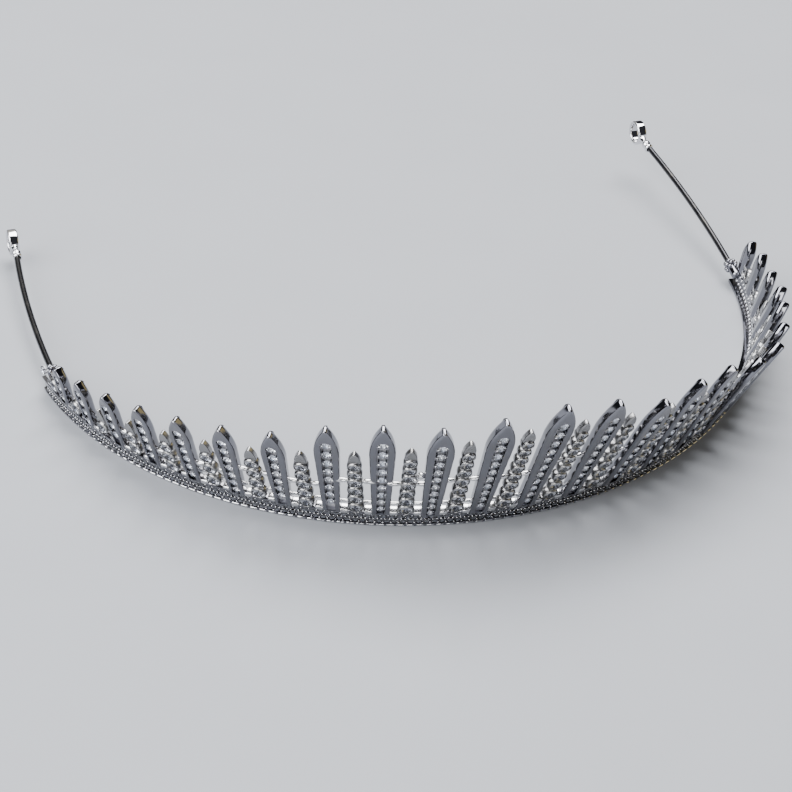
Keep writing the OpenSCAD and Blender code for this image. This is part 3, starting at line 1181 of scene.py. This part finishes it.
@dataclass
class LargeRays(Part):
    """Twenty-five pointed rays with a channel of stones in front and plain backs."""

    edge: float = 0.42
    back_edge: float = 0.8
    low_clear: float = 0.55
    liner_t: float = 0.05
    liner_gap: float = 0.01
    channel_arc: int = 8
    mouth_d: float = 0.12
    mouth_rise: float = 0.5
    mouth_spread: tuple[float, float] = (1.22, 1.01)
    stone_turn: float = 0.4

    def channel_outline(self, k: int, shrink: float) -> Bench:
        """Outline of the slot's floor.

        Args:
            k: Place of the ray.
            shrink: Distance inside the slot's walls.

        Returns:
            The filled outline on the bench.
        """
        p = self.plan
        top_v, low_v = p.top_stone_v(k), p.band_h + p.channel_foot
        top_r = p.stone_size(top_v) / 2 + p.seat_gap - shrink
        low_r = p.foot_stone_d / 2 + p.seat_gap - shrink
        points = [(low_r, low_v, -p.channel_d), (-low_r, low_v, -p.channel_d)]
        for i in range(self.channel_arc + 1):
            a = math.pi - math.pi * i / self.channel_arc
            points.append((top_r * math.cos(a), top_v + top_r * math.sin(a), -p.channel_d))
        bench = Bench.outline("channel", points)
        bench.fill()
        return bench

    def channel(self, k: int) -> Obj:
        """Cutter for the slot that holds the stones, a little wider at its mouth.

        Args:
            k: Place of the ray.

        Returns:
            The cutter.
        """
        p = self.plan
        bench = self.channel_outline(k, 0.0)
        bench.extrude(p.channel_d - self.mouth_d)
        bench.extrude(self.mouth_rise)
        bench.scale(*self.mouth_spread, 1, (0, (p.top_stone_v(k) + p.band_h) / 2, 0))
        bench.outward()
        return bench.finish(smooth=None)

    def body(self, k: int) -> Obj:
        """Metal of one ray: slab and channel.

        Args:
            k: Place of the ray.

        Returns:
            The finished body, flat.
        """
        p = self.plan
        width = p.ray_width(k)
        slab = PointedSlab("ray_body", width=width, foot_width=width * p.foot_share, foot=p.band_h - p.sink,
                           tip=p.ray_top(k), point=p.point_len(k), ridge=p.ridge_r, front=0.0,
                           back=-p.ray_t, edges=(self.edge, self.back_edge))
        bench = slab.shape()
        cutter = self.channel(k)
        bench.modifier("BOOLEAN", object=cutter, operation="DIFFERENCE", solver="EXACT")
        Assembly.discard(cutter)
        return bench.finish(smooth=40, weighted=True)

    def liner(self, k: int) -> Obj:
        """Thin floor plate of one channel, under the stones.

        Args:
            k: Place of the ray.

        Returns:
            The placed floor plate.
        """
        bench = self.channel_outline(k, self.liner_gap)
        bench.extrude(self.liner_t)
        bench.outward()
        return Assembly.place(bench.finish(smooth=None), self.plan.at_ray(k, self.plan.ray_lean(k)))

    def seats(self, k: int, at: Matrix, turn: float) -> list[Matrix]:
        """Seats of one ray's stones from the highest down.

        Args:
            k: Place of the ray.
            at: Place of the flat ray.
            turn: Angle from one stone to the next, in radians.

        Returns:
            A matrix for each stone.
        """
        p = self.plan
        seats = []
        for n, v in enumerate(p.stone_row(k, self.low_clear)):
            r = p.stone_size(v) / 2
            girdle = -p.channel_d + p.seat_gap + p.stone_depth * 2 * r
            seats.append(Assembly.seat(at, v, girdle, (r, r, r), n * turn))
        return seats

    def build(self) -> None:
        """Build all rays with their claws, channel floors and stones and hand them over."""
        p, made = self.plan, self.finishes
        halves: dict[Side, list[Matrix]] = {Side.LEFT: [], Side.RIGHT: []}
        for k in p.large_places:
            at = p.at_ray(k, p.ray_lean(k))
            parts = [self.body(k)]
            parts += [Assembly.copy(self.patterns.claws, seat) for seat in self.seats(k, ORIGIN, 0.0)]
            ray = Assembly.join(f"large_ray_{k + p.side_rays + 1:02d}", parts)
            Assembly.hand_over(Assembly.place(ray, at), made.polished)
            halves[Side.LEFT if k < 0 else Side.RIGHT] += self.seats(k, at, self.stone_turn)
        liners = Assembly.join("channel_floors", [self.liner(k) for k in p.large_places])
        Assembly.hand_over(liners, made.channel)
        for side, seats in halves.items():
            self.patterns.set_stones(f"large_ray_stones_{side.label}", seats, made.crystal, made.foil)


@dataclass
class SmallRays(Part):
    """Twenty-four stacks of round collets with a pointed tip, foot pads and cross bars."""

    sides: int = 24
    tip_edges: tuple[float, float] = (0.22, 0.3)
    pad_edge: float = 0.34
    bar_steps: tuple[tuple[float, float], ...] = (
        (0.15, 0.8), (0.2, 1.0), (0.3, 1.0), (0.2, 0.8), (0.15, 0.55))
    bridge_r: float = 0.5
    bridge_lap: float = 0.3
    knot_place: float = -2.5
    knot_collet: int = 4
    knot_balls: tuple[tuple[float, float, float, float], ...] = (
        (-0.25, -0.2, 0.35, 0.5), (0.65, 0.15, 0.95, 0.64))
    stone_turn: float = 0.5

    def collet(self, size: float) -> Obj:
        """One bulging ring, open at the back, with a seat for its stone in front.

        Args:
            size: Outer diameter.

        Returns:
            The finished ring, front at Z = 0.
        """
        r = size / 2
        seat = r - self.plan.bezel_t
        t = self.plan.collet_t
        wall = [(seat * 0.72, -1.0), (seat * 0.93, -0.55), (seat, -0.28), (seat + 0.02, -0.02),
                (seat + 0.07, 0.03), (r * 0.9, -0.02), (r * 0.965, -0.2), (r, -0.45),
                (r * 1.01, -t * 0.48), (r * 0.985, -t * 0.68), (r * 0.93, -t * 0.84), (r * 0.85, -t * 0.95),
                (r * 0.78, -t), (seat * 0.78, -t), (seat * 0.72, -t + 0.08)]
        bench = Bench.outline("collet", [(x, 0, z) for x, z in wall])
        bench.spin(self.sides, (0, 0, 1))
        return bench.finish(smooth=50)

    def bridge(self) -> Obj:
        """Short solder bridge of length 1 between two collets, along Y.

        Returns:
            The bridge.
        """
        bench = Bench.rod("bridge", sides=10, radius=self.bridge_r, length=1.0)
        bench.turn(math.pi / 2, "X")
        bench.outward()
        return bench.finish()

    def bar(self, name: str, radius: float) -> Obj:
        """Round bar of length 1 along X, with a full middle and slim ends.

        Args:
            name: Name of the pattern.
            radius: Radius of its middle.

        Returns:
            The bar.
        """
        previous = self.bar_steps[-1][1]
        bench = Bench.circle(name, sides=14, radius=radius * previous)
        for length, share in self.bar_steps:
            bench.extrude(length)
            bench.scale(share / previous, share / previous, 1)
            previous = share
        bench.outward()
        bench.turn(-math.pi / 2, "Y")
        bench.outward()
        return bench.finish()

    def foot_pad(self) -> Obj:
        """Plump pad that stands on the band, its left foot corner in front at the origin.

        Returns:
            The pad, flat.
        """
        p = self.plan
        height = p.foot_pad_sink + p.foot_pad_h
        bench = Bench.start("foot_pad", bpy.ops.mesh.primitive_cube_add, size=1.0)
        bench.scale(p.foot_pad_w, height, p.foot_pad_t)
        bench.move(p.foot_pad_w / 2, height / 2 - p.foot_pad_sink, -p.foot_pad_t / 2)
        bench.pick(edges=lambda a, b: max(a.y, b.y) > 0)
        bench.bevel(self.pad_edge, segments=4)
        return bench.finish(smooth=60)

    def tip(self, k: float) -> Obj:
        """Pointed tip above the last collet.

        Args:
            k: Place of the small ray.

        Returns:
            The tip, flat.
        """
        p = self.plan
        last = p.collets(k) - 1
        foot = p.collet_v(k, last) + p.collet_size(last) / 2 - p.small_tip_sink
        slab = PointedSlab("small_tip", width=p.small_tip_w, foot_width=p.small_tip_foot, foot=foot,
                           tip=p.stack_top(k) + p.small_tip_h, point=p.small_tip_point,
                           ridge=p.small_ridge_r, front=p.small_tip_t - p.collet_t, back=-p.collet_t,
                           edges=self.tip_edges)
        return slab.shape().finish(smooth=40, weighted=True)

    def bars(self, k: float, pattern: Obj, v: float, depth: float, inner: float) -> list[Obj]:
        """A bar on each side of a small ray, out to the large rays.

        Args:
            k: Place of the small ray.
            pattern: Bar of length 1 along X.
            v: Height of the bars.
            depth: Distance of the bars' axis behind the front.
            inner: X at which the bars start.

        Returns:
            The two bars.
        """
        p = self.plan
        length = p.half_pitch(k, v) - p.bar_short - inner
        made = []
        for turn in (0, math.pi):
            move = (Matrix.Translation((0, v, -depth)) @ Matrix.Rotation(turn, 4, "Z")
                    @ Matrix.Translation((inner, 0, 0)) @ Matrix.Diagonal((length, 1, 1, 1)))
            made.append(Assembly.copy(pattern, move))
        return made

    def knot(self) -> list[Obj]:
        """Two balls of solder on the right side of one collet.

        Returns:
            The two balls.
        """
        side = self.plan.collet_size(self.knot_collet) / 2
        v = self.plan.collet_v(self.knot_place, self.knot_collet)
        made = []
        for x, rise, depth, radius in self.knot_balls:
            ball = Bench.ball("knot_ball", radius, sides=16)
            ball.data.transform(Matrix.Translation((side + x, v + rise, -depth)))
            made.append(ball)
        return made

    def stack(self, k: float, collets: Sequence[Obj], bridge: Obj) -> list[Obj]:
        """Collets of one ray on their bridges, with the tip where there is room for it.

        Args:
            k: Place of the small ray.
            collets: Patterns from the foot up.
            bridge: Bridge of length 1.

        Returns:
            The parts, flat.
        """
        p = self.plan
        parts = []
        low = p.band_h - p.sink
        for i in range(p.collets(k)):
            v, half = p.collet_v(k, i), p.collet_size(i) / 2
            parts.append(Assembly.copy(collets[i], Matrix.Translation((0, v, -p.collet_y))))
            length = v - half + self.bridge_lap - low
            move = Assembly.seat(ORIGIN, low, -p.collet_y - p.collet_t / 2, (1, length, 1))
            parts.append(Assembly.copy(bridge, move))
            low = v + half - self.bridge_lap
        if p.small_room(k) > p.collet_d:
            parts.append(self.tip(k))
        return parts

    def beside(self, k: float, pad: Obj, link: Obj, foot_bar: Obj) -> list[Obj]:
        """Foot bars, links, foot pads and knot beside one ray.

        Args:
            k: Place of the small ray.
            pad: Foot pad.
            link: Link of length 1.
            foot_bar: Foot bar of length 1.

        Returns:
            The parts, flat.
        """
        p, i = self.plan, self.plan.link_place(k)
        parts = self.bars(k, foot_bar, p.collet_v(k, 0) + p.foot_bar_rise, p.foot_bar_y,
                          p.collet_size(0) / 2 - p.foot_bar_in)
        if 0 < i < p.collets(k):
            parts += self.bars(k, link, p.collet_v(k, i), p.link_y, p.collet_size(i) / 2 - p.link_in)
        ray_side = p.half_pitch(k, p.band_h) - p.ray_width(k) * p.foot_share / 2
        pad_x = ray_side + p.foot_pad_lap - p.foot_pad_w
        for x in (pad_x, -pad_x - p.foot_pad_w):
            parts.append(Assembly.copy(pad, Matrix.Translation((x, p.band_h, -p.foot_pad_y))))
        if k == self.knot_place:
            parts += self.knot()
        return parts

    def build(self) -> None:
        """Build all small rays with their stones, and what is soldered beside them, and hand them over."""
        p, made = self.plan, self.finishes
        collets = [self.collet(p.collet_size(i)) for i in range(p.collets(0.5))]
        bridge, pad = self.bridge(), self.foot_pad()
        link, foot_bar = self.bar("link", p.link_d / 2), self.bar("foot_bar", p.foot_bar_d / 2)
        soldered, seats = [], []
        for k in p.small_places:
            at = p.at_ray(k, p.lean(k))
            number = int(k + p.side_rays + 0.5)
            ray = Assembly.join(f"small_ray_{number:02d}", self.stack(k, collets, bridge))
            Assembly.hand_over(Assembly.place(ray, at), made.cast)
            soldered += [Assembly.place(piece, at) for piece in self.beside(k, pad, link, foot_bar)]
            for i in range(p.collets(k)):
                r = p.collet_size(i) / 2 - p.bezel_t - p.seat_gap
                depth = -p.collet_y - p.collet_stone_y
                seats.append(Assembly.seat(at, p.collet_v(k, i), depth, (r, r, r), i * self.stone_turn))
        Assembly.hand_over(Assembly.join("cross_bars", soldered), made.solder)
        Assembly.discard(bridge, pad, link, foot_bar, *collets)
        self.patterns.set_stones("small_ray_stones", seats, made.collet_crystal, made.dark_foil)


@dataclass
class Band(Part):
    """Curved band: rim strip with bright cushions, pave field, top rail and wire sockets."""

    steps: int = 150
    edge: float = 0.09
    pave_pitch: float = 1.35
    pave_d: float = 1.16
    pave_row: float = 0.56
    pave_rise: float = 0.2
    pave_height: float = 0.7
    pave_turn: float = 0.3
    bead_r: float = 0.17
    bead_rise: float = 0.16
    bead_out: float = 0.7
    stud_r: float = 0.42
    stud_height: float = 1.3
    barrel_slim: float = 0.2
    barrel_edge: float = 0.6
    knot_rings: tuple[tuple[float, float, int, float], ...] = (
        (4.3, 0.82, 5, 0.5), (3.5, 1.02, 6, 0.5), (2.7, 1.0, 5, 0.44))
    cushion_pitch: float = 1.7
    cushion_len: float = 1.42
    cushion_h: float = 0.72
    cushion_v: float = 0.52
    cushion_t: float = 0.2
    cushion_top: tuple[float, float] = (0.8, 0.55)
    cushion_edge: float = 0.06

    def web(self) -> list[tuple[float, float]]:
        """Cross-section of the web and the top rail.

        Returns:
            Corners in order, as radius and height.
        """
        p = self.plan
        out, up = math.sin(p.cone_lean), math.cos(p.cone_lean)

        def at(u: float, v: float) -> tuple[float, float]:
            """Point u inward and v up the slope, as radius and height."""
            return p.rim_r + v * out - u * up, v * up + u * out

        back, rail_foot = p.pave_recess + p.web_t, p.band_h - p.rail_h
        return [at(0, p.web_foot), at(0, p.strip_h), at(p.pave_recess, p.strip_h),
                at(p.pave_recess, rail_foot), at(0, rail_foot), at(0, p.band_h),
                at(p.rail_t, p.band_h), at(p.rail_t, rail_foot), at(back, rail_foot), at(back, p.web_foot)]

    def sector(self, name: str, corners: Sequence[tuple[float, float]]) -> Obj:
        """Spin a cross-section round the head opening and round its edges.

        Args:
            name: Name of the piece.
            corners: Corners in order, as radius and height.

        Returns:
            The finished sector.
        """
        bench = Bench.outline(name, [(0, -radius, height) for radius, height in corners])
        bench.fill()
        bench.turn(-self.plan.band_angle, "Z")
        bench.spin(self.steps, (0, 0, 1), 2 * self.plan.band_angle)
        bench.soften(self.edge, segments=2, angle=30)
        return bench.finish(smooth=40, weighted=True)

    def body(self) -> Obj:
        """Flat rim strip, and the web and top rail pushed forward above it.

        Returns:
            The placed band.
        """
        p = self.plan
        inner = p.rim_r - p.strip_w
        strip = self.sector("strip", [(inner, 0), (p.rim_r, 0), (p.rim_r, p.strip_h), (inner, p.strip_h)])
        web = self.sector("web", self.web())
        web.data.transform(p.pushed)
        return Assembly.place(Assembly.join("band", [strip, web]))

    def spread(self, pitch: float, short: int = 0) -> list[float]:
        """Evenly spaced places that fill the band from end to end.

        Args:
            pitch: Distance between two of them on the rim.
            short: How many fewer than fit.

        Returns:
            Places along the rim.
        """
        p = self.plan
        count = int(2 * p.band_angle * p.rim_r / pitch) - short
        return [(n - (count - 1) / 2) * (pitch / p.ray_pitch) for n in range(count)]

    def cushions(self) -> Obj:
        """Row of small bright cushions on the rim strip's front.

        Returns:
            The placed row.
        """
        p = self.plan
        bench = Bench.start("cushion", bpy.ops.mesh.primitive_cube_add, size=1.0)
        bench.scale(self.cushion_len, p.strip_h * self.cushion_h, self.cushion_t)
        bench.pick(faces=lambda c, n: n.z > 0.9)
        bench.scale(*self.cushion_top, 1.0)
        bench.pick(edges=lambda a, b: True)
        bench.bevel(self.cushion_edge)
        move = Matrix.Translation((0, p.strip_h * self.cushion_v, 0.0))
        moves = [p.at_band(k) @ move for k in self.spread(self.cushion_pitch)]
        return Assembly.place(Assembly.repeat("rim_cushions", bench.finish(smooth=60), moves))

    def pave(self) -> tuple[Obj, Obj]:
        """Two staggered rows of small stones in the recess, with beads between and studs behind them.

        Returns:
            The placed stones, and the placed beads and studs.
        """
        p = self.plan
        margin = self.pave_d * self.pave_row
        rows = [p.strip_h + margin, p.band_h - p.rail_h - margin]
        middle = (rows[0] + rows[1]) / 2
        share = self.pave_pitch / p.ray_pitch
        r = self.pave_d / 2
        stud = self.stud_r / self.bead_r
        out = r * self.bead_out
        bead_places = ((0.5, rows[0] - out), (0.25, middle), (0.75, middle), (0.0, rows[1] + out))
        stones, beads, studs = [], [], []
        for n, k in enumerate(self.spread(self.pave_pitch, short=1)):
            for row, v in enumerate(rows):
                at = p.at_band(k + row * share / 2)
                stones.append(Assembly.seat(at, v, -p.pave_recess + self.pave_rise * r,
                                            (r, r, r * self.pave_height), n * self.pave_turn))
                studs.append(Assembly.seat(at, v, -p.pave_recess - p.web_t, (stud, stud, self.stud_height)))
            for shift, v in bead_places:
                beads.append(p.at_band(k + shift * share)
                             @ Matrix.Translation((0, v, -p.pave_recess + self.bead_rise)))
        bead = Bench.ball("pave_bead", self.bead_r, sides=8)
        low_stones = Assembly.repeat("band_pave_stones", self.patterns.low_stone, stones, keep=True)
        beading = Assembly.repeat("band_pave_beads", bead, beads + studs)
        return Assembly.place(low_stones), Assembly.place(beading)

    def socket(self, route: WireRoute) -> Obj:
        """Barrel that takes a side wire, with rings of small balls round its mouth.

        Args:
            route: Route of the wire.

        Returns:
            The placed socket.
        """
        p = self.plan
        radius = p.socket_d / 2 - self.barrel_slim
        bench = Bench.rod("socket_barrel", sides=20, radius=radius, length=p.socket_len)
        bench.pick(edges=lambda a, b: abs(a.z - b.z) < NEAR)
        bench.bevel(self.barrel_edge, segments=4)
        parts = [bench.finish(smooth=60)]
        for height, ring_r, count, ball_r in self.knot_rings:
            moves = [Matrix.Rotation(2 * math.pi * n / count + height, 4, "Z")
                     @ Matrix.Translation((ring_r, 0, height)) for n in range(count)]
            parts.append(Assembly.repeat("knot_ring", Bench.ball("knot_ball", ball_r, sides=12), moves))
        move = (route.at_start @ Matrix.Translation((0, p.socket_depth - p.socket_len, 0))
                @ Matrix.Rotation(-math.pi / 2, 4, "X"))
        return Assembly.place(Assembly.join(f"wire_socket_{route.side.label}", parts), move)

    def build(self) -> None:
        """Build the band and hand it over."""
        made = self.finishes
        Assembly.hand_over(self.body(), made.band)
        Assembly.hand_over(self.cushions(), made.bright)
        stones, beads = self.pave()
        Assembly.hand_over(stones, made.pave_crystal, Slot.CRYSTAL)
        Assembly.hand_over(beads, made.bright)
        for side in Side:
            Assembly.hand_over(self.socket(WireRoute(self.plan, side)), made.polished)


@dataclass
class SideWires(Part):
    """The two bowed wires with their collars and end loops."""

    sides: int = 16
    steps: int = 40
    ring_steps: int = 48
    collar_steps: int = 24
    loop_edge: float = 0.32
    loop_slim: float = 0.12
    bore_gap: float = 0.05

    def wire(self, route: WireRoute) -> Obj:
        """Spin a round section along the wire's arc.

        Args:
            route: Route of the wire.

        Returns:
            The placed wire.
        """
        p, sign = self.plan, route.side.value
        bench = Bench.circle("wire", self.sides, p.wire_d / 2)
        bench.turn(math.pi / 2, "X")
        bench.turn(sign * route.half_arc, "Z")
        centre = (-sign * (route.bow_r - p.wire_bow), route.length / 2, 0)
        bench.spin(self.steps, (0, 0, 1), -sign * 2 * route.half_arc, centre)
        wire = bench.finish(smooth=60)
        wire.name = f"side_wire_{route.side.label}_drawn"
        return Assembly.place(wire, route.along)

    def loop(self, route: WireRoute) -> Obj:
        """Flat-strip ring with a shank and a collar of two plump rings.

        Args:
            route: Route of the wire.

        Returns:
            The placed loop.
        """
        p = self.plan
        half, outer, inner = p.loop_w / 2 - self.loop_slim, p.loop_d / 2, p.loop_hole_d / 2
        section = [(-half, 0, inner), (half, 0, inner), (half, 0, outer), (-half, 0, outer)]
        bench = Bench.outline("loop_ring", section)
        bench.spin(self.ring_steps, (1, 0, 0))
        bench.soften(self.loop_edge, segments=3, angle=40)
        ring = bench.finish(smooth=40, weighted=True)
        ring.data.transform(Matrix.Translation((0, route.span, 0)))
        foot = route.span - outer - p.shank_len - p.collar_len
        c, s, bore = p.collar_d / 2, p.shank_d / 2, p.wire_d / 2 + self.bore_gap
        wall = [(bore, 0.0), (c - 0.25, 0.0), (c - 0.04, 0.16), (c, 0.45), (c - 0.05, 0.75),
                (c - 0.28, 0.98), (c - 0.28, 1.1), (c - 0.04, 1.3), (c, 1.65), (c - 0.06, 2.0),
                (s - 0.05, 2.3), (s - 0.12, 2.7), (s - 0.05, 3.3), (s + 0.1, 3.8), (0.2, 3.9),
                (bore, p.collar_depth)]
        bench = Bench.outline("collar", [(x, foot + y, 0) for x, y in wall])
        bench.spin(self.collar_steps, (0, 1, 0))
        whole = Assembly.join(f"end_loop_{route.side.label}_polished", [ring, bench.finish(smooth=50)])
        return Assembly.place(whole, route.along)

    def build(self) -> None:
        """Build both wires and loops and hand them over."""
        for side in Side:
            route = WireRoute(self.plan, side)
            Assembly.hand_over(self.wire(route), self.finishes.drawn, node=f"side_wire_{side.label}")
            Assembly.hand_over(self.loop(route), self.finishes.bright, node=f"end_loop_{side.label}")


@dataclass
class Studio:
    """Plain pale floor, soft lights and the camera at the photograph's angle."""

    target: tuple[float, float, float] = (-0.009145, -0.031826, 0.0)
    azimuth: float = 19.882
    elevation: float = 34.692
    roll: float = 2.208
    distance: float = 0.38205
    lens: float = 93.548
    floor_size: float = 6.0
    aim: tuple[float, float, float] = (0.0, 0.0, 0.01)
    world_tone: Colour = (0.035, 0.036, 0.042)

    def floor(self) -> None:
        """Lay the floor under the rim."""
        board = Bench.start("floor", bpy.ops.mesh.primitive_plane_add, size=self.floor_size)
        bpy.ops.mesh.subdivide(number_cuts=4)
        obj = board.finish()
        obj.data.materials.append(FloorFinish().material())

    def light(self, name: str, place: Sequence[float], size: float, power: float,
              tone: Colour = (1.0, 1.0, 1.0)) -> None:
        """Hang one soft panel that faces the tiara.

        Args:
            name: Name of the light.
            place: Position in metres.
            size: Side of the panel.
            power: Watts.
            tone: Colour of the light.
        """
        data = bpy.data.lights.new(name, "AREA")
        data.shape = "SQUARE"
        data.size = size
        data.energy = power
        data.color = tone
        obj = bpy.data.objects.new(name, data)
        bpy.context.scene.collection.objects.link(obj)
        obj.location = place
        obj.rotation_euler = (Vector(self.aim) - Vector(place)).to_track_quat("-Z", "Y").to_euler()

    def camera(self) -> None:
        """Aim the camera as the photograph's was."""
        a, e, r = (math.radians(x) for x in (self.azimuth, self.elevation, self.roll))
        forward = Vector((math.sin(a) * math.cos(e), math.cos(a) * math.cos(e), -math.sin(e)))
        right = Vector((math.cos(a), -math.sin(a), 0))
        up = right.cross(forward)
        right, up = right * math.cos(r) + up * math.sin(r), up * math.cos(r) - right * math.sin(r)
        data = bpy.data.cameras.new("camera")
        data.lens = self.lens
        data.sensor_width = 36.0
        data.clip_start = 0.01
        data.clip_end = 50.0
        obj = bpy.data.objects.new("camera", data)
        bpy.context.scene.collection.objects.link(obj)
        matrix = Matrix((right, up, -forward)).transposed().to_4x4()
        matrix.translation = Vector(self.target) - forward * self.distance
        obj.matrix_world = matrix
        bpy.context.scene.camera = obj

    def build(self) -> None:
        """Set up floor, world, lights and camera."""
        self.floor()
        world = bpy.data.worlds.new("studio")
        world.use_nodes = True
        world.node_tree.nodes["Background"].inputs[0].default_value = (*self.world_tone, 1.0)
        bpy.context.scene.world = world
        self.light("overhead", (0.2, 0.27, 1.02), 0.8, 30.0)
        self.light("left_window", (-0.76, -0.2, 0.7), 0.95, 28.0, (0.97, 0.985, 1.0))
        self.light("right_wall", (1.3, -0.4, 0.26), 0.9, 2.8, (1.0, 0.82, 0.4))
        self.light("back_wall", (-0.1, 1.3, 0.9), 1.1, 2.6, (1.0, 0.98, 0.9))
        self.light("front_lamp", (-0.3, -1.2, 0.35), 0.5, 5.0)
        self.camera()


def main() -> None:
    """Build the tiara's pieces in order, then the studio."""
    logging.basicConfig(level=logging.INFO, format="%(name)s: %(message)s")
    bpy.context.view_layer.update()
    plan, finishes, patterns = Plan(), Finishes(), Patterns()
    for part in (Band, LargeRays, SmallRays, SideWires):
        part(plan, finishes, patterns).build()
    patterns.discard()
    Studio().build()


if __name__ == "__main__":
    main()
